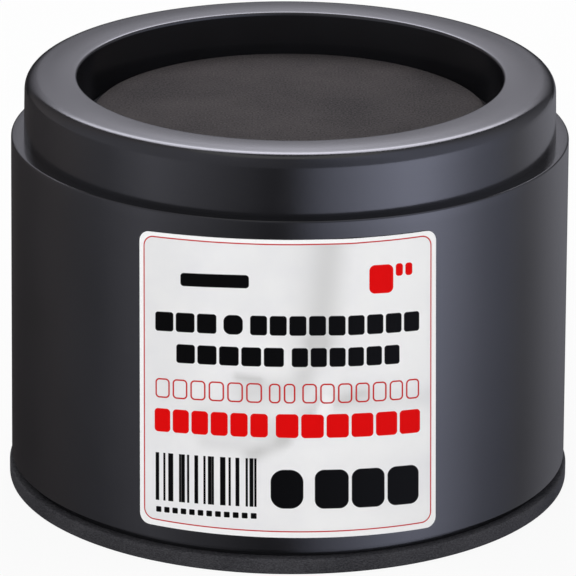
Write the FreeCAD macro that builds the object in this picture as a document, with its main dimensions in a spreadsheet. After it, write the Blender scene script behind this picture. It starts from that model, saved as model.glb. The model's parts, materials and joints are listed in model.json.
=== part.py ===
import FreeCAD
import Part
import Sketcher
import os

# A round bed riser, in millimetres. It stands on its base pad at Z = 0, its axis is the Z axis and its
# label faces -Y. The plastic body is one moulding, cored out from below and stiffened by ribs. One foam
# disc lies in the recess that takes the furniture leg, and another is glued under the base.

# Driving dimensions: name, value, meaning. Lengths are in millimetres and drafts in degrees.
SIZES = [
    ("lift_height", 76.2, "floor to the top of the seat foam, where the leg stands"),
    ("recess_depth", 7.8, "top of the seat foam to the top of the rim"),
    ("collar_height", 11.6, "shoulder to the top of the rim"),
    ("recess_diameter", 84.4, "straight wall of the recess for the leg"),
    ("mouth_width", 0.3, "how much wider the recess is at its mouth, on each side"),
    ("mouth_depth", 0.5, "depth over which the mouth narrows to the straight wall"),
    ("rim_width", 10.15, "mouth to the outside of the collar"),
    ("shoulder_width", 2.55, "foot of the collar to the side of the body"),
    ("collar_draft", 1.25, "slope of the collar's side"),
    ("body_draft", 0.465, "slope of the body's side"),
    ("recess_corner", 3.0, "bevelled corner between the recess wall and its floor"),
    ("rim_radius", 2.1, "round on the outside of the rim"),
    ("shoulder_bevel", 0.3, "eased edge of the shoulder"),
    ("foot_bevel", 0.25, "eased lower edge of the body"),
    ("reveal_height", 1.35, "dark gap between the body's lower edge and the base pad"),
    ("reveal_depth", 1.2, "how far that gap is set in from the body's side"),
    ("outer_wall", 3.2, "wall of the body and the collar"),
    ("rim_thickness", 3.0, "top of the rim"),
    ("recess_wall", 3.0, "wall round the recess"),
    ("recess_floor_thickness", 4.0, "floor of the recess"),
    ("rib_count", 8, "radial ribs under the floor"),
    ("rib_thickness", 2.4, "each radial rib"),
    ("ring_rib_diameter", 56.0, "outside of the ring rib"),
    ("ring_rib_thickness", 2.4, "ring rib"),
    ("hub_diameter", 20.0, "outside of the hub tube where the ribs meet"),
    ("hub_wall", 2.8, "wall of the hub tube"),
    ("seat_foam_thickness", 3.0, "foam disc in the recess"),
    ("seat_foam_clearance", 0.1, "between the foam disc and the recess corner"),
    ("seat_foam_bevel", 0.4, "eased edge of the foam disc"),
    ("base_pad_thickness", 3.2, "foam disc under the base"),
    ("base_pad_overhang", 0.5, "how far the base pad stands proud of the body"),
    ("base_pad_bevel", 0.5, "eased edges of the base pad"),
    ("label_width", 60.0, "label, measured round the body"),
    ("label_top_margin", 3.7, "shoulder to the label's upper edge"),
    ("label_bottom_margin", 2.95, "body's lower edge to the label's lower edge"),
    ("label_thickness", 0.1, "label paper"),
    ("label_glue_line", 0.12, "glue between the label and the body"),
    ("label_corner_radius", 2.1, "rounded corners of the label"),
]

# Radii and levels that follow from the driving dimensions: name, formula
DERIVED = [
    ("underside_level", "sizes.base_pad_thickness"),
    ("foot_level", "underside_level + sizes.reveal_height"),
    ("rim_level", "sizes.lift_height + sizes.recess_depth"),
    ("shoulder_level", "rim_level - sizes.collar_height"),
    ("mouth_level", "rim_level - sizes.mouth_depth"),
    ("recess_floor_level", "sizes.lift_height - sizes.seat_foam_thickness"),
    ("recess_radius", "sizes.recess_diameter / 2"),
    ("mouth_radius", "recess_radius + sizes.mouth_width"),
    ("collar_rim_radius", "mouth_radius + sizes.rim_width"),
    ("collar_foot_radius", "collar_rim_radius + tan(sizes.collar_draft) * sizes.collar_height"),
    ("shoulder_radius", "collar_foot_radius + sizes.shoulder_width"),
    ("body_slope", "tan(sizes.body_draft)"),
    ("foot_radius", "shoulder_radius + body_slope * (shoulder_level - foot_level)"),
    ("plinth_radius", "foot_radius - sizes.reveal_depth"),
    # Inside of the moulding
    ("foot_cavity_radius", "foot_radius - sizes.outer_wall"),
    ("shoulder_cavity_radius", "shoulder_radius - sizes.outer_wall"),
    ("collar_cavity_radius", "collar_rim_radius - sizes.outer_wall"),
    ("groove_radius", "recess_radius + sizes.recess_wall"),
    ("shoulder_underside_level", "shoulder_level - sizes.outer_wall"),
    ("groove_level", "rim_level - sizes.rim_thickness"),
    ("floor_underside_level", "recess_floor_level - sizes.recess_floor_thickness"),
    # Ribs, which end in the middle of the walls that carry them
    ("rib_foot_radius", "(plinth_radius + foot_cavity_radius) / 2"),
    ("rib_shoulder_radius", "shoulder_radius - sizes.outer_wall / 2"),
    ("rib_collar_radius", "collar_rim_radius - sizes.outer_wall / 2"),
    ("rib_groove_radius", "recess_radius + sizes.recess_wall / 2"),
    ("rib_shoulder_level", "shoulder_level - sizes.outer_wall / 2"),
    ("rib_groove_level", "rim_level - sizes.rim_thickness / 2"),
    ("rib_floor_level", "recess_floor_level - sizes.recess_floor_thickness / 2"),
    ("hub_radius", "sizes.hub_diameter / 2"),
    ("hub_bore_radius", "hub_radius - sizes.hub_wall"),
    ("rib_hub_radius", "hub_radius - sizes.hub_wall / 2"),
    ("ring_rib_outer_radius", "sizes.ring_rib_diameter / 2"),
    ("ring_rib_inner_radius", "ring_rib_outer_radius - sizes.ring_rib_thickness"),
    # Foam discs
    ("seat_foam_radius", "recess_radius - sizes.recess_corner - sizes.seat_foam_clearance"),
    ("base_pad_radius", "foot_radius + sizes.base_pad_overhang"),
    # Label, which lies on the drafted side of the body
    ("label_bottom_level", "foot_level + sizes.label_bottom_margin"),
    ("label_top_level", "shoulder_level - sizes.label_top_margin"),
    ("label_foot_radius", "foot_radius + sizes.label_glue_line"),
    ("label_bottom_radius", "label_foot_radius - body_slope * (label_bottom_level - foot_level)"),
    ("label_top_radius", "label_foot_radius - body_slope * (label_top_level - foot_level)"),
    ("label_bottom_face", "label_bottom_radius + sizes.label_thickness"),
    ("label_top_face", "label_top_radius + sizes.label_thickness"),
    ("label_angle", "sizes.label_width / ((label_bottom_face + label_top_face) / 2) * 180 / pi"),
]

# A corner of a profile that lies on the riser's axis
ON_AXIS = None

# How closely an edge has to match the circle that is looked for
EDGE_TOLERANCE = 1e-4

doc = FreeCAD.newDocument("bed_riser")


def fill_sheet(name, rows):
    """Make a spreadsheet of aliased cells from (alias, cell text, note) rows."""
    sheet = doc.addObject("Spreadsheet::Sheet", name)
    for number, (alias, text, note) in enumerate(rows, start=1):
        sheet.set(f"A{number}", alias)
        sheet.set(f"B{number}", text)
        sheet.setAlias(f"B{number}", alias)
        sheet.set(f"C{number}", note)
    doc.recompute()
    return sheet


sizes = fill_sheet("sizes", [(alias, str(value), note) for alias, value, note in SIZES])
derived = fill_sheet("derived", [(alias, f"={formula}", "") for alias, formula in DERIVED])


def new_body(label):
    """Make an empty body whose label names the piece."""
    body = doc.addObject("PartDesign::Body", label)
    body.Label = label
    return body


def new_sketch(body, name, plane_role):
    """Make a sketch on one of the body's own origin planes."""
    plane = next(item for item in body.Origin.OriginFeatures if item.Role == plane_role)
    sketch = body.newObject("Sketcher::SketchObject", name)
    sketch.AttachmentSupport = (plane, [""])
    sketch.MapMode = "FlatFace"
    return sketch


def bind_corner(sketch, line, axis, alias, side):
    """Tie one coordinate of a line's start point to a cell of the derived sheet."""
    origin = (-1, 1)
    corner = (line, 1)
    first, second = (origin, corner) if side > 0 else (corner, origin)
    constraint = Sketcher.Constraint(f"Distance{axis}", *first, *second, derived.get(alias))
    index = sketch.addConstraint(constraint)
    name = f"corner{line}_{axis.lower()}"
    sketch.renameConstraint(index, name)
    sketch.setExpression(f"Constraints.{name}", f"derived.{alias}")


def draw_profile(sketch, corners, side=1):
    """Draw a closed outline through (radius, level) corners; side -1 draws it on the negative side."""
    points = []
    for radius, level in corners:
        across = 0.0 if radius is ON_AXIS else side * derived.get(radius)
        points.append(FreeCAD.Vector(across, derived.get(level), 0))
    count = len(points)
    for number, point in enumerate(points):
        sketch.addGeometry(Part.LineSegment(point, points[(number + 1) % count]), False)
    for number in range(count):
        sketch.addConstraint(Sketcher.Constraint("Coincident", number, 2, (number + 1) % count, 1))
    for number, (radius, level) in enumerate(corners):
        if radius is ON_AXIS:
            sketch.addConstraint(Sketcher.Constraint("PointOnObject", number, 1, -2))
        else:
            bind_corner(sketch, number, "X", radius, side)
        bind_corner(sketch, number, "Y", level, 1)


def settle(body, feature):
    """Make a feature the body's result and recompute it."""
    body.Tip = feature
    doc.recompute()
    return feature


def revolve(body, name, corners):
    """Turn a closed profile once round the riser's axis."""
    sketch = new_sketch(body, f"{name}_profile", "XZ_Plane")
    draw_profile(sketch, corners)
    feature = body.newObject("PartDesign::Revolution", name)
    feature.Profile = sketch
    feature.ReferenceAxis = (sketch, ["V_Axis"])
    feature.Angle = 360
    return settle(body, feature)


def pad_disc(body, name, radius, thickness):
    """Pad a round disc upwards from the body's own XY plane."""
    sketch = new_sketch(body, f"{name}_profile", "XY_Plane")
    circle = Part.Circle(FreeCAD.Vector(), FreeCAD.Vector(0, 0, 1), derived.get(radius))
    sketch.addGeometry(circle, False)
    sketch.addConstraint(Sketcher.Constraint("Coincident", 0, 3, -1, 1))
    index = sketch.addConstraint(Sketcher.Constraint("Radius", 0, derived.get(radius)))
    sketch.renameConstraint(index, "disc_radius")
    sketch.setExpression("Constraints.disc_radius", f"derived.{radius}")
    feature = body.newObject("PartDesign::Pad", name)
    feature.Profile = sketch
    feature.setExpression("Length", f"sizes.{thickness}")
    return settle(body, feature)


def rings_at(shape, radius, level):
    """Names of the circular edges with that radius at that height."""
    names = []
    for number, edge in enumerate(shape.Edges, start=1):
        if not isinstance(edge.Curve, Part.Circle):
            continue
        if abs(edge.Curve.Radius - radius) > EDGE_TOLERANCE:
            continue
        if abs(edge.Curve.Center.z - level) > EDGE_TOLERANCE:
            continue
        names.append(f"Edge{number}")
    return names


def ease_edges(body, kind, name, edges, size):
    """Round (Fillet) or bevel (Chamfer) the named edges of the body's present result."""
    if not edges:
        raise RuntimeError(f"{name}: no edge to ease")
    base = body.Tip
    feature = body.newObject(f"PartDesign::{kind}", name)
    feature.Base = (base, edges)
    feature.setExpression("Radius" if kind == "Fillet" else "Size", f"sizes.{size}")
    return settle(body, feature)


def ease_ring(body, kind, name, radius, level, size):
    """Ease the ring edge at a radius and level of the derived sheet."""
    edges = rings_at(body.Tip.Shape, derived.get(radius), derived.get(level))
    return ease_edges(body, kind, name, edges, size)


def make_riser_body():
    """The moulding: a revolved section with eased edges, then its hub, ring rib and radial ribs."""
    body = new_body("riser_body")
    revolve(body, "shell", [
        ("foot_cavity_radius", "underside_level"),
        ("plinth_radius", "underside_level"),
        ("plinth_radius", "foot_level"),
        ("foot_radius", "foot_level"),
        ("shoulder_radius", "shoulder_level"),
        ("collar_foot_radius", "shoulder_level"),
        ("collar_rim_radius", "rim_level"),
        ("mouth_radius", "rim_level"),
        ("recess_radius", "mouth_level"),
        ("recess_radius", "recess_floor_level"),
        (ON_AXIS, "recess_floor_level"),
        (ON_AXIS, "floor_underside_level"),
        ("groove_radius", "floor_underside_level"),
        ("groove_radius", "groove_level"),
        ("collar_cavity_radius", "groove_level"),
        ("collar_cavity_radius", "shoulder_underside_level"),
        ("shoulder_cavity_radius", "shoulder_underside_level"),
    ])
    ease_ring(body, "Chamfer", "recess_corner", "recess_radius", "recess_floor_level", "recess_corner")
    ease_ring(body, "Fillet", "rim_round", "collar_rim_radius", "rim_level", "rim_radius")
    ease_ring(body, "Chamfer", "shoulder_edge", "shoulder_radius", "shoulder_level", "shoulder_bevel")
    ease_ring(body, "Chamfer", "foot_edge", "foot_radius", "foot_level", "foot_bevel")
    revolve(body, "hub", [
        ("hub_bore_radius", "underside_level"),
        ("hub_radius", "underside_level"),
        ("hub_radius", "rib_floor_level"),
        ("hub_bore_radius", "rib_floor_level"),
    ])
    revolve(body, "ring_rib", [
        ("ring_rib_inner_radius", "underside_level"),
        ("ring_rib_outer_radius", "underside_level"),
        ("ring_rib_outer_radius", "rib_floor_level"),
        ("ring_rib_inner_radius", "rib_floor_level"),
    ])
    add_radial_ribs(body)
    return body


def add_radial_ribs(body):
    """One flat rib with the outline of the hollow, repeated round the axis."""
    before = body.Tip.Shape.Volume
    sketch = new_sketch(body, "rib_profile", "XZ_Plane")
    draw_profile(sketch, [
        ("rib_hub_radius", "underside_level"),
        ("rib_foot_radius", "underside_level"),
        ("rib_shoulder_radius", "rib_shoulder_level"),
        ("rib_collar_radius", "rib_shoulder_level"),
        ("rib_collar_radius", "rib_groove_level"),
        ("rib_groove_radius", "rib_groove_level"),
        ("rib_groove_radius", "rib_floor_level"),
        ("rib_hub_radius", "rib_floor_level"),
    ])
    rib = body.newObject("PartDesign::Pad", "rib")
    rib.Profile = sketch
    rib.SideType = "Symmetric"
    rib.setExpression("Length", "sizes.rib_thickness")
    settle(body, rib)
    one_rib = rib.Shape.Volume - before
    pattern = body.newObject("PartDesign::PolarPattern", "ribs")
    pattern.Originals = [rib]
    pattern.Axis = (sketch, ["V_Axis"])
    pattern.Angle = 360
    pattern.setExpression("Occurrences", "sizes.rib_count")
    settle(body, pattern)
    added = pattern.Shape.Volume - before
    if one_rib <= 0 or added < 0.99 * one_rib * sizes.get("rib_count"):
        raise RuntimeError(f"ribs add {added:.1f} mm3, one rib adds {one_rib:.1f} mm3")


def make_seat_foam():
    """The foam disc on the floor of the recess."""
    body = new_body("seat_foam")
    disc = pad_disc(body, "seat_disc", "seat_foam_radius", "seat_foam_thickness")
    top = rings_at(disc.Shape, derived.get("seat_foam_radius"), sizes.get("seat_foam_thickness"))
    ease_edges(body, "Chamfer", "seat_edge", top, "seat_foam_bevel")
    body.setExpression("Placement.Base.z", "derived.recess_floor_level")
    return body


def make_base_foam_pad():
    """The foam disc under the base, with both of its edges eased."""
    body = new_body("base_foam_pad")
    disc = pad_disc(body, "base_disc", "base_pad_radius", "base_pad_thickness")
    bottom = rings_at(disc.Shape, derived.get("base_pad_radius"), 0)
    top = rings_at(disc.Shape, derived.get("base_pad_radius"), sizes.get("base_pad_thickness"))
    ease_edges(body, "Chamfer", "base_edges", bottom + top, "base_pad_bevel")
    return body


def make_front_label():
    """The paper label: a thin strip of the drafted side, with rounded corners."""
    body = new_body("front_label")
    sketch = new_sketch(body, "paper_profile", "YZ_Plane")
    draw_profile(sketch, [
        ("label_bottom_radius", "label_bottom_level"),
        ("label_bottom_face", "label_bottom_level"),
        ("label_top_face", "label_top_level"),
        ("label_top_radius", "label_top_level"),
    ], side=-1)
    paper = body.newObject("PartDesign::Revolution", "paper")
    paper.Profile = sketch
    paper.ReferenceAxis = (sketch, ["V_Axis"])
    paper.Midplane = True
    paper.setExpression("Angle", "derived.label_angle")
    settle(body, paper)
    through_paper = []
    for number, edge in enumerate(paper.Shape.Edges, start=1):
        if edge.Length < 2 * sizes.get("label_thickness"):
            through_paper.append(f"Edge{number}")
    ease_edges(body, "Fillet", "label_corners", through_paper, "label_corner_radius")
    return body


def check_document(bodies):
    """Stop if any object failed, or if a piece isn't one valid solid."""
    for item in doc.Objects:
        if "Invalid" in item.State or "Error" in item.State:
            raise RuntimeError(f"{item.Label}: {item.State}")
    for body in bodies:
        shape = body.Shape
        if shape.isNull() or not shape.isValid() or len(shape.Solids) != 1:
            raise RuntimeError(f"{body.Label}: not one valid solid")


pieces = [make_riser_body(), make_seat_foam(), make_base_foam_pad(), make_front_label()]
doc.recompute()
check_document(pieces)
os.makedirs("parts", exist_ok=True)
for piece in pieces:
    piece.Shape.exportStep(f"parts/{piece.Label}.step")
    box = piece.Shape.BoundBox
    print(f"{piece.Label}: {piece.Shape.Volume:.1f} mm3, Z {box.ZMin:.2f} to {box.ZMax:.2f}")
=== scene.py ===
import json
import math

import bmesh
import bpy
import mathutils
from mathutils import Matrix, Vector


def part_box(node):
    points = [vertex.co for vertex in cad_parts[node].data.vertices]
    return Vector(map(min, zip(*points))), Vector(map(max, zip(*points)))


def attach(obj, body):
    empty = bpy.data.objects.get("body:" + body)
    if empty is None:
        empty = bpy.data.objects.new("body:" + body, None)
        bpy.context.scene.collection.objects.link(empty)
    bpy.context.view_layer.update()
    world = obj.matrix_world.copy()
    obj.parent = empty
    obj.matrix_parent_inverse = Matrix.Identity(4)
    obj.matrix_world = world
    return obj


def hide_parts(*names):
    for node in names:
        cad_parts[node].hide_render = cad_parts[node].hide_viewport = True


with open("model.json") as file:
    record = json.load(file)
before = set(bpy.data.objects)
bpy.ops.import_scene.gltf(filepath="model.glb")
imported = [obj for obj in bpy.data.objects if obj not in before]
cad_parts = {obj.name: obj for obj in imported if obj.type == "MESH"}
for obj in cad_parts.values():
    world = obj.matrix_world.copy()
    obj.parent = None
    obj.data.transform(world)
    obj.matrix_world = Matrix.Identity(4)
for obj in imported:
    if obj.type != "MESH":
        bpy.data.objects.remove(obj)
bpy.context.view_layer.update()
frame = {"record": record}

MM = 0.001

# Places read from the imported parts
pad_low, pad_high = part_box("base_foam_pad")
body_low, body_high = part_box("riser_body")
seat_low, seat_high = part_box("seat_foam")
label_low, label_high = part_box("front_label")
mounts = {mount["name"]: mount for mount in frame["record"]["mounts"]}
recess_radius = mounts["leg_recess"]["dims"]["r_mm"] * MM

# Sizes of the moulding that the boxes don't give
REVEAL_HEIGHT = 1.7 * MM
REVEAL_DEPTH = 1.6 * MM
BODY_DRAFT = math.radians(0.465)
COLLAR_DRAFT = math.radians(1.25)
COLLAR_HEIGHT = 12.1 * MM
SHOULDER_WIDTH = 2.55 * MM
RECESS_BEVEL = 0.4 * MM
RIM_CROWN = 0.15 * MM
RIM_STEPS = 8

# Rounded edges of the moulding
RIM_ROUND = 2.6 * MM
MOUTH_ROUND = 0.65 * MM
SHOULDER_ROUND = 0.4 * MM
FOOT_ROUND = 0.15 * MM
FLOOR_ROUND = 0.3 * MM

# The cored underside
OUTER_WALL = 3.2 * MM
RIM_THICKNESS = 3.0 * MM
RECESS_WALL = 3.0 * MM
RECESS_FLOOR = 4.0 * MM
HUB_RADIUS = 10.0 * MM
HUB_WALL = 2.8 * MM
RING_RIB_RADIUS = 28.0 * MM
RING_RIB_WALL = 2.4 * MM
RIB_COUNT = 8
RIB_WALL = 2.4 * MM

# Foam
SEAT_GAP = 2.9 * MM
SEAT_ROUND = 0.8 * MM
PAD_ROUND = 0.5 * MM
FOAM_RING = 2.0 * MM
FOAM_DIP = 0.08 * MM
FOAM_SWAY = 90.0

# Label paper
LABEL_GLUE = 0.12 * MM
LABEL_PAPER = 0.1 * MM
LABEL_CORNER = 2.1 * MM
LABEL_ARC = 60.0 * MM
LABEL_CUTS = 80
PRINT_DROOP = 0.95 * MM
PRINT_LEAN = -0.22 * MM
LABEL_NARROW = 0.9873
LABEL_TAPER = 0.0042
LABEL_TURN = math.radians(-0.12)
LABEL_SKEW = math.radians(-0.255)

# How the label's head and foot stray from level: raise, tilt, bow, lean
LABEL_HEAD = (-0.40 * MM, 0.12 * MM, -0.60 * MM, 0.22 * MM)
LABEL_FOOT = (0.16 * MM, -0.26 * MM, -0.36 * MM, 0.0)

# How finely the pieces are built
TURN_STEPS = 256
ROUND_STEPS = 8
LONGEST_EDGE = 2.0 * MM
MERGE_GAP = 0.001 * MM
SMOOTH_ANGLE = math.radians(40.0)


def new_piece(name, bm):
    """A finished mesh becomes a piece that sits at the origin."""
    mesh = bpy.data.meshes.new(name)
    bm.to_mesh(mesh)
    bm.free()
    mesh.shade_smooth()
    mesh.set_sharp_from_angle(angle=SMOOTH_ANGLE)
    piece = bpy.data.objects.new(name, mesh)
    bpy.context.scene.collection.objects.link(piece)
    return piece


def fuse(piece, tool):
    """Joins the tool's solid to the piece and keeps one clean skin."""
    joint = piece.modifiers.new("joint", "BOOLEAN")
    joint.operation = "UNION"
    joint.solver = "EXACT"
    joint.object = tool
    graph = bpy.context.evaluated_depsgraph_get()
    joined = bpy.data.meshes.new_from_object(piece.evaluated_get(graph))
    piece.modifiers.clear()
    parted = (piece.data, tool.data)
    piece.data = joined
    bpy.data.objects.remove(tool)
    for mesh in parted:
        bpy.data.meshes.remove(mesh)
    joined.name = piece.name
    joined.shade_smooth()
    joined.set_sharp_from_angle(angle=SMOOTH_ANGLE)


def draw_section(bm, corners, closed=False, longest=None):
    """A chain of edges in the plane of X and Z, with its corners rounded where a size is given."""
    points = [bm.verts.new((radius, 0.0, level)) for radius, level, size in corners]
    pairs = list(zip(points, points[1:]))
    if closed:
        pairs.append((points[-1], points[0]))
    for pair in pairs:
        bm.edges.new(pair)
    for point, (radius, level, size) in zip(points, corners):
        if size:
            bmesh.ops.bevel(
                bm, geom=[point], offset=size, offset_type="OFFSET", segments=ROUND_STEPS,
                profile=0.5, affect="VERTICES", material=-1,
            )
    if longest:
        for edge in bm.edges[:]:
            cuts = int(edge.calc_length() / longest)
            if cuts:
                bmesh.ops.subdivide_edges(bm, edges=[edge], cuts=cuts)


def turn_section(bm):
    """Spins the section once round the axis and closes the seam and the poles."""
    bmesh.ops.spin(
        bm, geom=bm.verts[:] + bm.edges[:], cent=(0, 0, 0), axis=(0, 0, 1), angle=math.tau,
        steps=TURN_STEPS, use_merge=True, use_duplicate=False,
    )
    bmesh.ops.remove_doubles(bm, verts=bm.verts[:], dist=MERGE_GAP)
    bmesh.ops.recalc_face_normals(bm, faces=bm.faces[:])


# The moulding, one closed section from its foot up over the rim, into the recess and back under
foot_level = body_low.z + REVEAL_HEIGHT
foot_radius = body_high.x
rim_level = body_high.z
shoulder_level = rim_level - COLLAR_HEIGHT
shoulder_radius = foot_radius - (shoulder_level - foot_level) * math.tan(BODY_DRAFT)
collar_foot_radius = shoulder_radius - SHOULDER_WIDTH
collar_radius = collar_foot_radius - COLLAR_HEIGHT * math.tan(COLLAR_DRAFT)
recess_floor = seat_low.z
plinth_radius = foot_radius - REVEAL_DEPTH
underside = body_low.z
ceiling = recess_floor - RECESS_FLOOR


def rim_crown():
    """Points across the top of the rim, which swells a little between its rounded edges."""
    outer = collar_radius - RIM_ROUND
    inner = recess_radius + MOUTH_ROUND
    points = []
    for step in range(1, RIM_STEPS):
        share = step / RIM_STEPS
        swell = 4 * share * (1 - share)
        points.append((outer + (inner - outer) * share, rim_level - RIM_CROWN * (1 - swell), 0))
    return points


def make_body():
    """The outer skin and the cored underside as one turned section."""
    bm = bmesh.new()
    draw_section(bm, [
        (plinth_radius, underside, 0),
        (plinth_radius, foot_level, 0),
        (foot_radius, foot_level, FOOT_ROUND),
        (shoulder_radius, shoulder_level, SHOULDER_ROUND),
        (collar_foot_radius, shoulder_level, 0),
        (collar_radius, rim_level - RIM_CROWN, RIM_ROUND),
        *rim_crown(),
        (recess_radius, rim_level - RIM_CROWN, MOUTH_ROUND),
        (recess_radius, recess_floor + RECESS_BEVEL, FLOOR_ROUND),
        (recess_radius - RECESS_BEVEL, recess_floor, 0),
        (0.0, recess_floor, 0),
    ], longest=LONGEST_EDGE)
    hub_bore = HUB_RADIUS - HUB_WALL
    ring_bore = RING_RIB_RADIUS - RING_RIB_WALL
    groove_radius = recess_radius + RECESS_WALL
    groove_level = rim_level - RIM_THICKNESS
    step_level = shoulder_level - OUTER_WALL
    draw_section(bm, [
        (0.0, ceiling, 0),
        (hub_bore, ceiling, 0),
        (hub_bore, underside, 0),
        (HUB_RADIUS, underside, 0),
        (HUB_RADIUS, ceiling, 0),
        (ring_bore, ceiling, 0),
        (ring_bore, underside, 0),
        (RING_RIB_RADIUS, underside, 0),
        (RING_RIB_RADIUS, ceiling, 0),
        (groove_radius, ceiling, 0),
        (groove_radius, groove_level, 0),
        (collar_radius - OUTER_WALL, groove_level, 0),
        (collar_radius - OUTER_WALL, step_level, 0),
        (shoulder_radius - OUTER_WALL, step_level, 0),
        (foot_radius - OUTER_WALL, underside, 0),
        (plinth_radius, underside, 0),
    ])
    bmesh.ops.remove_doubles(bm, verts=bm.verts[:], dist=MERGE_GAP)
    turn_section(bm)
    return new_piece("moulded_body", bm)


def make_ribs():
    """Flat ribs with the outline of the hollow, which end inside the walls that carry them."""
    bm = bmesh.new()
    outline = (
        (HUB_RADIUS - HUB_WALL / 2, underside),
        ((plinth_radius + foot_radius - OUTER_WALL) / 2, underside),
        (shoulder_radius - OUTER_WALL / 2, shoulder_level - OUTER_WALL / 2),
        (collar_radius - OUTER_WALL / 2, shoulder_level - OUTER_WALL / 2),
        (collar_radius - OUTER_WALL / 2, rim_level - RIM_THICKNESS / 2),
        (recess_radius + RECESS_WALL / 2, rim_level - RIM_THICKNESS / 2),
        (recess_radius + RECESS_WALL / 2, recess_floor - RECESS_FLOOR / 2),
        (HUB_RADIUS - HUB_WALL / 2, recess_floor - RECESS_FLOOR / 2),
    )
    draw_section(bm, [(reach, level, 0) for reach, level in outline], closed=True)
    bmesh.ops.contextual_create(bm, geom=bm.edges[:])
    bmesh.ops.translate(bm, vec=(0, -RIB_WALL / 2, 0), verts=bm.verts[:])
    pulled = bmesh.ops.extrude_face_region(bm, geom=bm.faces[:], use_keep_orig=True)
    moved = [item for item in pulled["geom"] if isinstance(item, bmesh.types.BMVert)]
    bmesh.ops.translate(bm, vec=(0, RIB_WALL, 0), verts=moved)
    bmesh.ops.recalc_face_normals(bm, faces=bm.faces[:])
    bmesh.ops.spin(
        bm, geom=bm.verts[:] + bm.edges[:] + bm.faces[:], cent=(0, 0, 0), axis=(0, 0, 1),
        angle=math.tau * (RIB_COUNT - 1) / RIB_COUNT, steps=RIB_COUNT - 1, use_duplicate=True,
    )
    bmesh.ops.recalc_face_normals(bm, faces=bm.faces[:])
    return new_piece("ribs", bm)


def make_disc(name, radius, low, high, size):
    """A foam disc with soft cut edges, a little uneven across its top and round its side."""
    bm = bmesh.new()
    rings = int((radius - size) / FOAM_RING)
    top = [(FOAM_RING * ring, high, 0) for ring in range(rings, 0, -1)]
    draw_section(bm, [(0.0, low, 0), (radius, low, size), (radius, high, size), *top, (0.0, high, 0)])
    turn_section(bm)
    for vert in bm.verts:
        sway = 0.5 + 0.5 * mathutils.noise.noise(vert.co * FOAM_SWAY)
        out = Vector((vert.co.x, vert.co.y, 0))
        if out.length > radius - size:
            vert.co -= out.normalized() * FOAM_DIP * sway
        if vert.co.z > high - size / 2:
            vert.co.z -= FOAM_DIP * sway
    return new_piece(name, bm)


# The label, cut flat with round corners, then wrapped on the drafted side
label_height = label_high.z - label_low.z


def side_radius(level):
    """Radius of the drafted side at a level."""
    return foot_radius - (level - foot_level) * math.tan(BODY_DRAFT)


# Each crease in label millimetres: from, to, half its width, how far it stands up
CREASES = (
    ((41.6, 38.0), (42.4, 60.0), 2.6, 0.13),
    ((35.5, 44.0), (35.0, 60.0), 3.4, -0.08),
    ((19.0, 33.6), (27.5, 33.0), 1.2, 0.10),
    ((38.2, 30.0), (36.4, 25.6), 1.1, 0.15),
    ((33.8, 27.6), (24.0, 16.8), 1.9, -0.08),
    ((36.4, 24.6), (27.6, 15.0), 1.7, 0.10),
    ((40.0, 30.4), (52.0, 33.4), 2.0, 0.08),
    ((12.0, 49.0), (16.0, 58.0), 3.0, 0.06),
)
CREASE_LOW = -0.09
CREASE_HIGH = 0.16

# Each streak of painted shade along and round the creases, or of painted highlight where its level is below
# zero: from, to, half its width, how grey it is
PAINTED_PAPER_SHADING = (
    ((36.2, 41.0), (38.0, 60.0), 3.7, 0.82),
    ((31.0, 40.0), (32.5, 60.0), 3.0, 0.16),
    ((33.4, 34.0), (35.6, 40.0), 2.4, 0.55),
    ((20.3, 33.1), (24.6, 32.6), 0.8, 0.70),
    ((22.5, 30.2), (31.5, 30.6), 3.1, 0.60),
    ((35.9, 28.6), (34.6, 25.6), 1.1, 0.50),
    ((39.2, 28.0), (44.6, 29.6), 1.1, 0.45),
    ((42.0, 29.0), (57.0, 28.2), 3.5, 0.48),
    ((29.8, 20.2), (23.0, 16.8), 1.4, 0.65),
    ((33.2, 26.0), (29.0, 20.6), 1.7, 0.45),
    ((14.0, 24.0), (26.0, 22.6), 3.2, 0.50),
    ((14.0, 19.0), (24.0, 18.0), 1.8, 0.35),
    ((37.7, 28.4), (36.9, 26.0), 0.9, -1.40),
    ((5.0, 26.0), (5.0, 60.0), 9.0, 0.22),
    ((22.0, 48.0), (26.0, 60.0), 6.0, 0.15),
    ((54.0, 35.0), (54.0, 60.0), 8.0, -0.60),
    ((34.0, 17.8), (58.0, 18.0), 3.0, -0.55),
    ((36.0, 3.0), (58.0, 3.0), 3.5, -0.80),
)


def along_lines(place, lines):
    """Sum of soft lines at a place in label millimetres."""
    total = 0.0
    for first, last, width, level in lines:
        begin = Vector(first)
        along = Vector(last) - begin
        share = max(0.0, min(1.0, (place - begin).dot(along) / along.length_squared))
        gap = (place - begin - along * share).length / width
        total += level * math.exp(-gap * gap)
    return total


def stray(edge, share):
    """How far an edge of the label strays from level at a share of its half width."""
    return sum(size * share ** power for power, size in enumerate(edge))


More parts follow.
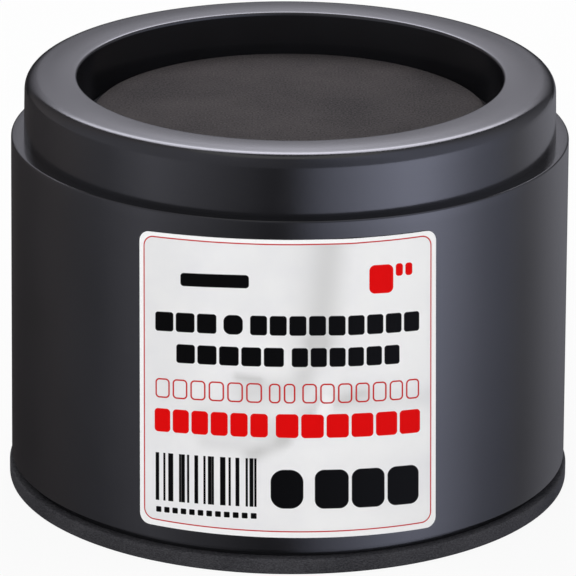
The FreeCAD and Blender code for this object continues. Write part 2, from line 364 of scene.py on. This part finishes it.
def make_label():
    """A sheet with creases, its print coordinates and the painted shade and highlights of its streaks."""
    bm = bmesh.new()
    bmesh.ops.create_grid(bm, x_segments=1, y_segments=1, size=0.5)
    bmesh.ops.scale(bm, vec=(LABEL_ARC, label_height, 1.0), verts=bm.verts[:])
    bmesh.ops.bevel(
        bm, geom=bm.verts[:], offset=LABEL_CORNER, offset_type="OFFSET", segments=ROUND_STEPS,
        profile=0.5, affect="VERTICES", material=-1,
    )
    for step in range(1, LABEL_CUTS):
        share = step / LABEL_CUTS - 0.5
        upright_cut = ((share * LABEL_ARC, 0, 0), (1, 0, 0))
        level_cut = ((0, share * label_height, 0), (0, 1, 0))
        for place, normal in (upright_cut, level_cut):
            bmesh.ops.bisect_plane(
                bm, geom=bm.verts[:] + bm.edges[:] + bm.faces[:], dist=MERGE_GAP,
                plane_co=place, plane_no=normal,
            )
    bmesh.ops.solidify(bm, geom=bm.faces[:], thickness=LABEL_PAPER)
    lowest = min(vert.co.z for vert in bm.verts)
    bmesh.ops.translate(bm, vec=(0, 0, -lowest), verts=bm.verts[:])
    flat = bm.loops.layers.uv.new("flat_print")
    level_lines = bm.loops.layers.uv.new("level_print")
    grey = bm.verts.layers.float.new("painted_paper_shading")
    for face in bm.faces:
        for loop in face.loops:
            point = loop.vert.co
            across = point.x / LABEL_ARC + 0.5
            share = 2 * across - 1
            drop = (PRINT_DROOP + PRINT_LEAN * share) * share * share
            loop[flat].uv = (across, point.y / label_height + 0.5)
            loop[level_lines].uv = (across, (point.y + drop) / label_height + 0.5)
    middle = (label_low.z + label_high.z) / 2
    half_turn = math.asin(label_high.x / side_radius(middle)) * LABEL_NARROW
    for vert in bm.verts:
        share = vert.co.x / (LABEL_ARC / 2)
        place = Vector((vert.co.x + LABEL_ARC / 2, vert.co.y + label_height / 2)) / MM
        stand = max(CREASE_LOW, min(CREASE_HIGH, along_lines(place, CREASES))) * MM
        # Painted shade and painted highlight of the creases, kept on each point for the paper's colour
        vert[grey] = along_lines(place, PAINTED_PAPER_SHADING)
        rise = 0.5 + vert.co.y / label_height
        level = middle + vert.co.y + stray(LABEL_HEAD, share) * rise + stray(LABEL_FOOT, share) * (1 - rise)
        upward = 2 * rise - 1
        turn = share * half_turn * (1 - LABEL_TAPER * upward) + LABEL_TURN + LABEL_SKEW * upward
        reach = side_radius(level) + LABEL_GLUE + vert.co.z + stand
        vert.co = Vector((reach * math.sin(turn), -reach * math.cos(turn), level))
    bmesh.ops.recalc_face_normals(bm, faces=bm.faces[:])
    return new_piece("paper_label", bm)


# Black plastic: colours, roughness, and the scales and depths of its unevenness
PLASTIC_DARK = (0.0070, 0.0070, 0.0080, 1)
PLASTIC_LIGHT = (0.0100, 0.0100, 0.0118, 1)
PLASTIC_SMOOTH = 0.15
PLASTIC_ROUGH = 0.19
PLASTIC_CLOUDS = 45.0
PLASTIC_PEEL = 600.0
PLASTIC_GRAIN = 4500.0
PEEL_DEPTH = 0.009 * MM
GRAIN_DEPTH = 0.002 * MM

# Foam: colours of the two discs, and the scales and depths of the cells
SEAT_DARK = (0.0085, 0.0072, 0.0068, 1)
SEAT_LIGHT = (0.0562, 0.0480, 0.0460, 1)
SEAT_STREAKS = 1.0
BASE_DARK = (0.010, 0.010, 0.012, 1)
BASE_LIGHT = (0.066, 0.065, 0.071, 1)
BASE_STREAKS = 3.0
FOAM_CELLS = 1900.0
FOAM_SPECKLE = 2600.0
FOAM_CLOUDS = 60.0
FOAM_CLOUD_SHARE = 0.35
FOAM_ROUGH = 0.95
FOAM_GLOSS = 0.2
CELL_DEPTH = 0.05 * MM
SPECKLE_DEPTH = 0.03 * MM

# The stretch of a noise that is spread from none to full
CLOUD_LOW = 0.3
CLOUD_HIGH = 0.7
SPECKLE_LOW = 0.36
SPECKLE_HIGH = 0.64


def add_node(tree, kind, inputs=None, **settings):
    """A node with its settings, its constants and its links."""
    made = tree.nodes.new(kind)
    for name, value in settings.items():
        setattr(made, name, value)
    for name, value in (inputs or {}).items():
        if isinstance(value, bpy.types.NodeSocket):
            tree.links.new(value, made.inputs[name])
        else:
            made.inputs[name].default_value = value
    return made


def start_material(name):
    material = bpy.data.materials.new(name)
    material.use_nodes = True
    tree = material.node_tree
    return material, tree, tree.nodes["Principled BSDF"]


def blend_colours(tree, factor, first, second):
    mix = add_node(tree, "ShaderNodeMix", {0: factor, 6: first, 7: second}, data_type="RGBA")
    return mix.outputs[2]


def blend_values(tree, factor, first, second):
    mix = add_node(tree, "ShaderNodeMix", {0: factor, 2: first, 3: second}, data_type="FLOAT")
    return mix.outputs[0]


def noise(tree, vector, scale, detail=2.0):
    made = add_node(tree, "ShaderNodeTexNoise", {"Vector": vector, "Scale": scale, "Detail": detail})
    return made.outputs[0]


def stretch(tree, value, low, high, to_low=0.0, to_high=1.0):
    """A range of a value spread over another range."""
    made = add_node(tree, "ShaderNodeMapRange", {0: value, 1: low, 2: high, 3: to_low, 4: to_high})
    return made.outputs[0]


def bump(tree, height, distance, under=None):
    """A relief of a depth, over another one where it is given."""
    inputs = {"Height": height, "Distance": distance, "Strength": 1.0}
    if under is not None:
        inputs["Normal"] = under
    return add_node(tree, "ShaderNodeBump", inputs).outputs[0]


def make_black_plastic():
    """Glossy moulded plastic with soft clouds, a faint peel and a fine grain."""
    material, tree, shader = start_material("black_plastic")
    place = add_node(tree, "ShaderNodeTexCoord").outputs["Object"]
    clouds = noise(tree, place, PLASTIC_CLOUDS, 3.0)
    peel = noise(tree, place, PLASTIC_PEEL)
    grain = noise(tree, place, PLASTIC_GRAIN)
    colour = blend_colours(tree, stretch(tree, clouds, CLOUD_LOW, CLOUD_HIGH), PLASTIC_DARK, PLASTIC_LIGHT)
    tree.links.new(colour, shader.inputs["Base Color"])
    rough = blend_values(tree, stretch(tree, clouds, CLOUD_LOW, CLOUD_HIGH), PLASTIC_SMOOTH, PLASTIC_ROUGH)
    tree.links.new(rough, shader.inputs["Roughness"])
    fine = bump(tree, grain, GRAIN_DEPTH)
    shaped = bump(tree, peel, PEEL_DEPTH, under=fine)
    tree.links.new(shaped, shader.inputs["Normal"])
    return material


def make_foam(name, dark, light, streaks):
    """Matt foam with fine cells, which streaks flatten on a cut side."""
    material, tree, shader = start_material(name)
    place = add_node(tree, "ShaderNodeTexCoord").outputs["Object"]
    cut = add_node(tree, "ShaderNodeMapping", {"Vector": place, "Scale": (1.0, 1.0, streaks)}).outputs[0]
    cells = add_node(
        tree, "ShaderNodeTexVoronoi", {"Vector": cut, "Scale": FOAM_CELLS}, feature="F1",
    ).outputs["Distance"]
    speckle = noise(tree, cut, FOAM_SPECKLE)
    clouds = noise(tree, place, FOAM_CLOUDS, 3.0)
    spots = stretch(tree, speckle, SPECKLE_LOW, SPECKLE_HIGH)
    patches = stretch(tree, clouds, CLOUD_LOW, CLOUD_HIGH)
    tone = blend_values(tree, FOAM_CLOUD_SHARE, spots, patches)
    colour = blend_colours(tree, tone, dark, light)
    tree.links.new(colour, shader.inputs["Base Color"])
    shader.inputs["Roughness"].default_value = FOAM_ROUGH
    shader.inputs["Specular IOR Level"].default_value = FOAM_GLOSS
    pits = bump(tree, cells, CELL_DEPTH)
    shaped = bump(tree, speckle, SPECKLE_DEPTH, under=pits)
    tree.links.new(shaped, shader.inputs["Normal"])
    return material


# The print: plain fields of colour in label millimetres, from the left edge and the foot of the paper
BLACK_INK = (0.0015, 0.0015, 0.0015, 1)
RED_INK = (0.75, 0.0008, 0.001, 1)
DARK_RED_INK = (0.55, 0.014, 0.016, 1)
PAPER_MARGIN = (0.96, 0.96, 0.96, 1)
PAPER_WHITE = (0.89, 0.89, 0.893, 1)
PAPER_SHADE = (0.84, 0.84, 0.86, 1)
# Painted shade for the creases, and painted highlight for their ridges and lighter patches
PAPER_PAINTED_SHADE = (0.62, 0.62, 0.62, 1)
PAPER_PAINTED_HIGHLIGHT = (0.93, 0.93, 0.93, 1)
PAPER_FIBRES = 9.0
PAPER_CLOUDS = 0.12
PAPER_SMOOTH = 0.46
PAPER_ROUGH = 0.54
PAPER_GLOSS = 0.06
INK_ROUGH = 0.65
FIBRE_DEPTH = 0.002 * MM
PRINT_EDGE = 0.04
WORD_MARGIN = 1.0
WORD_CORNER = 0.1
FAR = 1000.0

# Each row of blocks: left, foot, right, head, corner, number of blocks, gap between them
BLACK_ROWS = (
    (8.9, 51.3, 22.6, 54.0, 0.7, 1, 0.5),
    (3.5, 41.8, 16.2, 45.8, 0.6, 3, 0.5),
    (17.6, 41.8, 21.4, 45.8, 1.4, 1, 0.5),
    (22.8, 41.8, 56.3, 45.8, 0.6, 9, 0.5),
    (8.0, 35.4, 29.3, 39.3, 0.6, 5, 0.5),
    (30.8, 35.4, 52.1, 39.3, 0.6, 6, 0.5),
    (26.7, 6.1, 33.0, 14.2, 2.6, 1, 0.5),
    (35.2, 6.1, 56.2, 14.2, 1.8, 3, 0.6),
    (3.5, 6.3, 24.0, 16.4, 0.06, 13, 1.2),
    (3.5, 6.3, 23.4, 16.4, 0.06, 8, 1.95),
    (3.6, 3.8, 24.0, 5.0, 0.2, 12, 0.6),
)
RED_ROWS = (
    (3.3, 20.8, 26.2, 25.7, 0.8, 6, 0.5),
    (27.7, 20.8, 56.5, 25.7, 0.8, 6, 0.5),
    (45.9, 50.0, 50.8, 55.8, 1.2, 1, 0.5),
    (51.3, 53.3, 54.8, 55.85, 0.6, 2, 0.5),
)

# Each row of outlined blocks: the same, and the width of the line
OUTLINED_ROWS = (
    (3.5, 27.9, 25.1, 32.0, 0.9, 6, 0.6, 0.32),
    (26.4, 27.9, 31.5, 32.0, 0.9, 2, 0.6, 0.32),
    (32.8, 27.9, 56.3, 32.0, 0.9, 7, 0.6, 0.32),
)
KEYLINE = (0.9, 1.15, 59.0, 60.4, 2.2, 1, 0.5, 0.26)


def calculate(tree, operation, first, second):
    return add_node(tree, "ShaderNodeMath", {0: first, 1: second}, operation=operation).outputs[0]


def combine(tree, operation, first, second):
    return add_node(tree, "ShaderNodeVectorMath", {0: first, 1: second}, operation=operation).outputs[0]


def make_field_group():
    """A rounded field as a node group, with soft edges of one print dot."""
    group = bpy.data.node_groups.new("print_field", "ShaderNodeTree")
    for name, kind in (("Place", "NodeSocketVector"), ("Middle", "NodeSocketVector"),
                       ("Reach", "NodeSocketVector"), ("Corner", "NodeSocketFloat")):
        group.interface.new_socket(name, in_out="INPUT", socket_type=kind)
    group.interface.new_socket("Ink", in_out="OUTPUT", socket_type="NodeSocketFloat")
    start = group.nodes.new("NodeGroupInput").outputs
    end = group.nodes.new("NodeGroupOutput")
    away = combine(group, "SUBTRACT", start["Place"], start["Middle"])
    folded = add_node(group, "ShaderNodeVectorMath", {0: away}, operation="ABSOLUTE").outputs[0]
    past = combine(group, "SUBTRACT", folded, start["Reach"])
    clear = combine(group, "MAXIMUM", past, (0, 0, 0))
    gap = add_node(group, "ShaderNodeVectorMath", {0: clear}, operation="LENGTH").outputs["Value"]
    over = calculate(group, "SUBTRACT", gap, start["Corner"])
    ink = stretch(group, over, PRINT_EDGE, -PRINT_EDGE)
    group.links.new(ink, end.inputs["Ink"])
    return group


def print_field(tree, group, place, field):
    """One rounded field of ink."""
    left, foot, right, head, corner = field
    made = tree.nodes.new("ShaderNodeGroup")
    made.node_tree = group
    tree.links.new(place, made.inputs["Place"])
    made.inputs["Middle"].default_value = ((left + right) / 2, (foot + head) / 2, 0.0)
    made.inputs["Reach"].default_value = ((right - left) / 2 - corner, (head - foot) / 2 - corner, 0.0)
    made.inputs["Corner"].default_value = corner
    return made.outputs["Ink"]


def print_row(tree, group, place, row):
    """Even blocks side by side: one block on a coordinate that starts again at each of them."""
    left, foot, right, head, corner, count, gap = row
    if count == 1:
        return print_field(tree, group, place, (left, foot, right, head, corner))
    pitch = (right - left + gap) / count
    half = (pitch - gap) / 2
    start = combine(tree, "SUBTRACT", place, (left + half, 0, 0))
    again = add_node(
        tree, "ShaderNodeVectorMath",
        {0: start, 1: (pitch / 2, FAR, FAR), 2: (-pitch / 2, -FAR, -FAR)}, operation="WRAP",
    )
    block = print_field(tree, group, again.outputs[0], (-half, foot, half, head, corner))
    word = print_field(
        tree, group, place,
        (left - gap / 2, foot - WORD_MARGIN, right + gap / 2, head + WORD_MARGIN, WORD_CORNER),
    )
    return calculate(tree, "MINIMUM", block, word)


def print_outline(tree, group, place, row):
    """A row of blocks less the same row drawn smaller by the width of the line."""
    left, foot, right, head, corner, count, gap, line = row
    outer = print_row(tree, group, place, (left, foot, right, head, corner, count, gap))
    inner = print_row(
        tree, group, place,
        (left + line, foot + line, right - line, head - line, corner - line, count, gap + 2 * line),
    )
    return calculate(tree, "SUBTRACT", outer, inner)


def gather(tree, inks):
    """All fields of one ink together."""
    total = inks[0]
    for ink in inks[1:]:
        total = calculate(tree, "MAXIMUM", total, ink)
    return total


def make_label_paper():
    """White paper with streaks of painted shade and painted highlight, and the print in three inks."""
    material, tree, shader = start_material("label_paper")
    group = make_field_group()
    size = (LABEL_ARC / MM, label_height / MM, 1.0)
    flat = add_node(tree, "ShaderNodeUVMap", uv_map="flat_print").outputs[0]
    place = combine(tree, "MULTIPLY", flat, size)
    level = add_node(tree, "ShaderNodeUVMap", uv_map="level_print").outputs[0]
    lines = combine(tree, "MULTIPLY", level, size)
    fibres = noise(tree, place, PAPER_FIBRES, 3.0)
    clouds = noise(tree, place, PAPER_CLOUDS, 3.0)
    paper = blend_colours(tree, stretch(tree, clouds, CLOUD_LOW, CLOUD_HIGH), PAPER_SHADE, PAPER_WHITE)
    # Painted shade greys the paper along the creases; below zero, painted highlight lightens it
    grey = add_node(tree, "ShaderNodeAttribute", attribute_name="painted_paper_shading").outputs["Fac"]
    paper = blend_colours(tree, stretch(tree, grey, 0.0, 1.0), paper, PAPER_PAINTED_SHADE)
    paper = blend_colours(tree, stretch(tree, grey, 0.0, -1.0), paper, PAPER_PAINTED_HIGHLIGHT)
    inside = print_row(tree, group, place, KEYLINE[:-1])
    paper = blend_colours(tree, inside, PAPER_MARGIN, paper)
    black = gather(tree, [print_row(tree, group, lines, row) for row in BLACK_ROWS])
    red = gather(tree, [print_row(tree, group, lines, row) for row in RED_ROWS])
    outlines = [print_outline(tree, group, lines, row) for row in OUTLINED_ROWS]
    dark_red = gather(tree, [print_outline(tree, group, place, KEYLINE), *outlines])
    colour = blend_colours(tree, black, paper, BLACK_INK)
    colour = blend_colours(tree, red, colour, RED_INK)
    colour = blend_colours(tree, dark_red, colour, DARK_RED_INK)
    tree.links.new(colour, shader.inputs["Base Color"])
    ink = gather(tree, [black, red])
    bare = stretch(tree, fibres, CLOUD_LOW, CLOUD_HIGH, PAPER_SMOOTH, PAPER_ROUGH)
    rough = blend_values(tree, ink, bare, INK_ROUGH)
    tree.links.new(rough, shader.inputs["Roughness"])
    shader.inputs["Specular IOR Level"].default_value = PAPER_GLOSS
    tree.links.new(bump(tree, fibres, FIBRE_DEPTH), shader.inputs["Normal"])
    return material


# Pieces, their finishes and what they stand for
body = make_body()
fuse(body, make_ribs())
seat = make_disc("seat_pad", recess_radius - SEAT_GAP, seat_low.z, seat_high.z, SEAT_ROUND)
base = make_disc("base_pad", pad_high.x, pad_low.z, pad_high.z, PAD_ROUND)
label = make_label()

finishes = (
    (body, "riser_body", "black_plastic", make_black_plastic()),
    (seat, "seat_foam", "seat_foam",
     make_foam("seat_foam", SEAT_DARK, SEAT_LIGHT, SEAT_STREAKS)),
    (base, "base_foam_pad", "base_foam",
     make_foam("base_foam", BASE_DARK, BASE_LIGHT, BASE_STREAKS)),
    (label, "front_label", "label_paper", make_label_paper()),
)
for piece, node, slot, material in finishes:
    piece.data.materials.append(material)
    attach(piece, "root")
    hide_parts(node)

# Floor and room
FLOOR_SIZE = 6.0
FLOOR_DROP = 0.02 * MM
FLOOR_SHADE = (0.80, 0.80, 0.80, 1)
FLOOR_PALE = (0.84, 0.84, 0.84, 1)
FLOOR_CLOUDS = 4.0
FLOOR_ROUGH = 0.9
FLOOR_GLOW = 0.9
ROOM_GREY = (0.6, 0.6, 0.6, 1)
WHITE = (1, 1, 1, 1)

# Each softbox: azimuth and elevation in degrees, distance, width, height and radiance
FRONT_BOX = (-10.0, 40.0, 1.0, 0.6, 0.5, 4.0)
BACK_TOP_BOX = (180.0, 44.0, 0.5, 0.12, 0.24, 8.0)
LAMP_TARGET = (0, 0, 0.045)


def seen_rays(tree):
    """1 for rays from the camera and for mirror and clear ones, else 0."""
    path = add_node(tree, "ShaderNodeLightPath").outputs
    first = calculate(tree, "MAXIMUM", path["Is Camera Ray"], path["Is Glossy Ray"])
    return calculate(tree, "MAXIMUM", first, path["Is Transmission Ray"])


def make_floor():
    """A pale floor that looks white and still keeps the shadow of the object."""
    bm = bmesh.new()
    bmesh.ops.create_grid(bm, x_segments=1, y_segments=1, size=FLOOR_SIZE / 2)
    bmesh.ops.translate(bm, vec=(0, 0, -FLOOR_DROP), verts=bm.verts[:])
    mesh = bpy.data.meshes.new("studio_floor")
    bm.to_mesh(mesh)
    bm.free()
    floor = bpy.data.objects.new("studio_floor", mesh)
    bpy.context.scene.collection.objects.link(floor)
    material, tree, shader = start_material("floor_paper")
    place = add_node(tree, "ShaderNodeTexCoord").outputs["Object"]
    clouds = noise(tree, place, FLOOR_CLOUDS)
    colour = blend_colours(tree, clouds, FLOOR_SHADE, FLOOR_PALE)
    tree.links.new(colour, shader.inputs["Base Color"])
    shader.inputs["Roughness"].default_value = FLOOR_ROUGH
    shader.inputs["Specular IOR Level"].default_value = 0.0
    glow = add_node(tree, "ShaderNodeEmission", {"Color": WHITE, "Strength": 1.0})
    share = calculate(tree, "MULTIPLY", seen_rays(tree), FLOOR_GLOW)
    mix = add_node(tree, "ShaderNodeMixShader", {0: share, 1: shader.outputs[0], 2: glow.outputs[0]})
    tree.links.new(mix.outputs[0], tree.nodes["Material Output"].inputs["Surface"])
    mesh.materials.append(material)
    floor.visible_glossy = False


def make_world():
    """A grey room that lights the object, seen as plain white."""
    world = bpy.data.worlds.new("studio")
    bpy.context.scene.world = world
    world.cycles.sampling_method = "NONE"
    world.use_nodes = True
    tree = world.node_tree
    room = tree.nodes["Background"]
    room.inputs["Color"].default_value = ROOM_GREY
    room.inputs["Strength"].default_value = 1.0
    white = add_node(tree, "ShaderNodeBackground", {"Color": WHITE, "Strength": 1.0})
    mix = add_node(
        tree, "ShaderNodeMixShader", {0: seen_rays(tree), 1: room.outputs[0], 2: white.outputs[0]}
    )
    tree.links.new(mix.outputs[0], tree.nodes["World Output"].inputs["Surface"])


def softbox(name, azimuth, elevation, distance, width, height, radiance):
    """A rectangle of light. Azimuth 0 is in front, on the camera's side, and 90 to the right."""
    data = bpy.data.lights.new(name, "AREA")
    data.shape = "RECTANGLE"
    data.size = width
    data.size_y = height
    data.energy = radiance * math.pi * width * height
    lamp = bpy.data.objects.new(name, data)
    bpy.context.scene.collection.objects.link(lamp)
    turn = math.radians(azimuth)
    rise = math.radians(elevation)
    away = Vector((math.sin(turn) * math.cos(rise), -math.cos(turn) * math.cos(rise), math.sin(rise)))
    lamp.location = Vector(LAMP_TARGET) + away * distance
    lamp.rotation_euler = away.to_track_quat("Z", "Y").to_euler()
    lamp.visible_camera = False
    lamp.visible_glossy = False


# What the glossy plastic mirrors: graded cards round the object, as set up for black goods.
# Each stop: degrees from the front towards the right, and the card's brightness there
CARD_STOPS = (
    (-180, 0.05), (-140, 0.072), (-125, 0.12), (-104, 0.27), (-80, 0.39), (-57, 0.92), (-35, 0.57),
    (-20, 0.32), (-7, 0.08), (0, 0.2), (8, 0.85), (15, 1.4), (25, 2.0), (35, 2.65), (48, 3.3),
    (57, 3.2), (73, 1.85), (83, 1.14), (94, 0.76), (107, 0.52), (125, 0.58), (136, 0.51), (150, 0.36),
    (180, 0.05),
)
CANOPY_STOPS = (
    (-180, 0.05), (-150, 0.05), (-120, 0.36), (-86, 0.62), (-66, 0.7), (-40, 0.7), (-15, 0.4), (0, 0.3),
    (12, 0.5), (28, 0.9), (50, 1.3), (78, 1.15), (110, 0.6), (150, 0.05), (180, 0.05),
)
CARD_PEAK = 4.0

# Each tint of the cards: up to how many degrees it reaches, and its colour
CARD_TINTS = (
    (-95, (1.03, 0.94, 0.98)),
    (0, (0.95, 0.95, 1.10)),
    (100, (0.90, 0.94, 1.20)),
    (180, (0.96, 0.96, 1.08)),
)
CARD_NEAR = 0.01
CARD_FAR = 0.60
CARD_FOOT = -0.35
CARD_TOP = 0.08
CARD_STEPS = 72

# The low card's light: from and to which height it grades, and its strength there
LOW_GRADE = (-0.207, -0.081, 0.70, 1.12)

# How far the cards reach round and up, in degrees
FRONT_HALF = 145.0
CANOPY_TOP = 72.0
CANOPY_STEPS = 12
BACK_TOP = 86.0
BACK_STEPS = 24

# Behind the object: height in metres on the card, and the card's brightness there
BACK_STOPS = (
    (0.0, 0.04), (0.10, 0.10), (0.16, 0.33), (0.21, 0.64), (0.25, 0.93), (0.28, 1.25),
    (0.315, 2.0), (0.355, 3.0), (0.385, 5.0), (0.41, 8.0), (0.545, 8.0), (0.555, 0.1),
)
BACK_PEAK = 8.0
BACK_TINT = (0.945, 0.935, 1.05)
BACK_SIDE = 0.14
BACK_FADE_LEFT = 0.42
BACK_FADE_RIGHT = 0.5
BACK_LOW = 0.33
BACK_HIGH = 0.40
BACK_SPREAD = 0.3


def glow_material(name):
    """A material without a surface of its own, and the parts of its object coordinate."""
    material = bpy.data.materials.new(name)
    material.use_nodes = True
    tree = material.node_tree
    tree.nodes.remove(tree.nodes["Principled BSDF"])
    place = add_node(tree, "ShaderNodeTexCoord").outputs["Object"]
    parts = add_node(tree, "ShaderNodeSeparateXYZ", {0: place}).outputs
    return material, tree, parts


def fill_ramp(tree, share, stops, peak):
    """Each stop has a share of the way, a level and a tint."""
    ramp = add_node(tree, "ShaderNodeValToRGB", {0: share})
    marks = ramp.color_ramp.elements
    while len(marks) < len(stops):
        marks.new(0.5)
    for mark, (position, level, tint) in zip(marks, stops):
        mark.position = position
        mark.color = [level / peak * part for part in tint] + [1]
    return ramp.outputs[0]


def card_tint(turn):
    """Colour of the cards in a direction."""
    return next(tint for reach, tint in CARD_TINTS if turn <= reach)


def make_card_light(name, turns, grade=None):
    """Graded round the object and, where stated, from one strength to another between two heights."""
    material, tree, parts = glow_material(name)
    ahead = calculate(tree, "MULTIPLY", parts["Y"], -1.0)
    angle = calculate(tree, "ARCTAN2", parts["X"], ahead)
    share = stretch(tree, angle, -math.pi, math.pi)
    stops = [((turn + 180) / 360, level, card_tint(turn)) for turn, level in turns]
    colour = fill_ramp(tree, share, stops, CARD_PEAK)
    strength = CARD_PEAK
    if grade:
        low, high, low_share, high_share = grade
        strength = stretch(tree, parts["Z"], low, high, CARD_PEAK * low_share, CARD_PEAK * high_share)
    glow = add_node(tree, "ShaderNodeEmission", {"Color": colour, "Strength": strength})
    tree.links.new(glow.outputs[0], tree.nodes["Material Output"].inputs["Surface"])
    return material


def make_back_light():
    """Paper behind the object, dark at the floor, paler upwards, and a soft light above it."""
    material, tree, parts = glow_material("back_card")
    share = stretch(tree, parts["Z"], 0.0, CARD_FAR)
    stops = [(height / CARD_FAR, level, BACK_TINT) for height, level in BACK_STOPS]
    colour = fill_ramp(tree, share, stops, BACK_PEAK)
    spread = stretch(tree, parts["Z"], BACK_LOW, BACK_HIGH, 1.0, BACK_SPREAD)
    aside = calculate(tree, "MULTIPLY", parts["X"], spread)
    left = stretch(tree, aside, -BACK_SIDE, 0.0, BACK_FADE_LEFT, 1.0)
    right = stretch(tree, aside, 0.0, BACK_SIDE, BACK_PEAK, BACK_PEAK * BACK_FADE_RIGHT)
    strength = calculate(tree, "MULTIPLY", left, right)
    glow = add_node(tree, "ShaderNodeEmission", {"Color": colour, "Strength": strength})
    tree.links.new(glow.outputs[0], tree.nodes["Material Output"].inputs["Surface"])
    return material


def studio_card(name, section, start, sweep, material):
    """A card swept round the object, met by mirror rays only."""
    bm = bmesh.new()
    points = [bm.verts.new((0.0, -reach, level)) for reach, level in section]
    for pair in zip(points, points[1:]):
        bm.edges.new(pair)
    first = Matrix.Rotation(math.radians(start), 3, "Z")
    bmesh.ops.rotate(bm, cent=(0, 0, 0), matrix=first, verts=bm.verts[:])
    bmesh.ops.spin(
        bm, geom=bm.verts[:] + bm.edges[:], cent=(0, 0, 0), axis=(0, 0, 1), angle=math.radians(sweep),
        steps=CARD_STEPS, use_merge=False, use_duplicate=False,
    )
    mesh = bpy.data.meshes.new(name)
    bm.to_mesh(mesh)
    bm.free()
    mesh.materials.append(material)
    card = bpy.data.objects.new(name, mesh)
    bpy.context.scene.collection.objects.link(card)
    card.visible_camera = False
    card.visible_diffuse = False
    card.visible_shadow = False
    card.visible_transmission = False


def dome(first, last, steps):
    """A section of a round canopy between two heights in degrees."""
    section = []
    for step in range(steps + 1):
        rise = math.radians(first + (last - first) * step / steps)
        section.append((CARD_FAR * math.cos(rise), CARD_FAR * math.sin(rise)))
    return section


make_floor()
make_world()
softbox("front_box", *FRONT_BOX)
softbox("back_top_box", *BACK_TOP_BOX)
low_light = make_card_light("low_card_light", CARD_STOPS, LOW_GRADE)
canopy_light = make_card_light("canopy_light", CANOPY_STOPS)
low_section = ((CARD_NEAR, CARD_FOOT), (CARD_FAR, CARD_FOOT), (CARD_FAR, 0.0))
canopy_foot = math.degrees(math.asin(CARD_TOP / CARD_FAR))
studio_card("low_card", low_section, 0.0, 360.0, low_light)
side_section = ((CARD_FAR, 0.0), (CARD_FAR, CARD_TOP))
canopy_section = dome(canopy_foot, CANOPY_TOP, CANOPY_STEPS)
back_section = dome(0.0, BACK_TOP, BACK_STEPS)
studio_card("side_card", side_section, -FRONT_HALF, 2 * FRONT_HALF, low_light)
studio_card("canopy", canopy_section, -FRONT_HALF, 2 * FRONT_HALF, canopy_light)
studio_card("back_card", back_section, FRONT_HALF, 360.0 - 2 * FRONT_HALF, make_back_light())

# Camera, as fitted to the outlines in the photo
CAMERA_PLACE = (-0.00018, -0.9774, 0.38854)
CAMERA_PITCH = math.radians(19.691)
CAMERA_ROLL = math.radians(0.401)
CAMERA_LENS = 322.5
CAMERA_SENSOR = 36.0
CAMERA_REACH = 20.0

camera_data = bpy.data.cameras.new("camera")
camera_data.lens = CAMERA_LENS
camera_data.sensor_width = CAMERA_SENSOR
camera_data.clip_end = CAMERA_REACH
camera = bpy.data.objects.new("camera", camera_data)
bpy.context.scene.collection.objects.link(camera)
camera.location = CAMERA_PLACE
aim = Matrix.Rotation(math.pi / 2 - CAMERA_PITCH, 3, "X") @ Matrix.Rotation(CAMERA_ROLL, 3, "Z")
camera.rotation_euler = aim.to_euler()
bpy.context.scene.camera = camera
bpy.context.scene.view_settings.view_transform = "Standard"
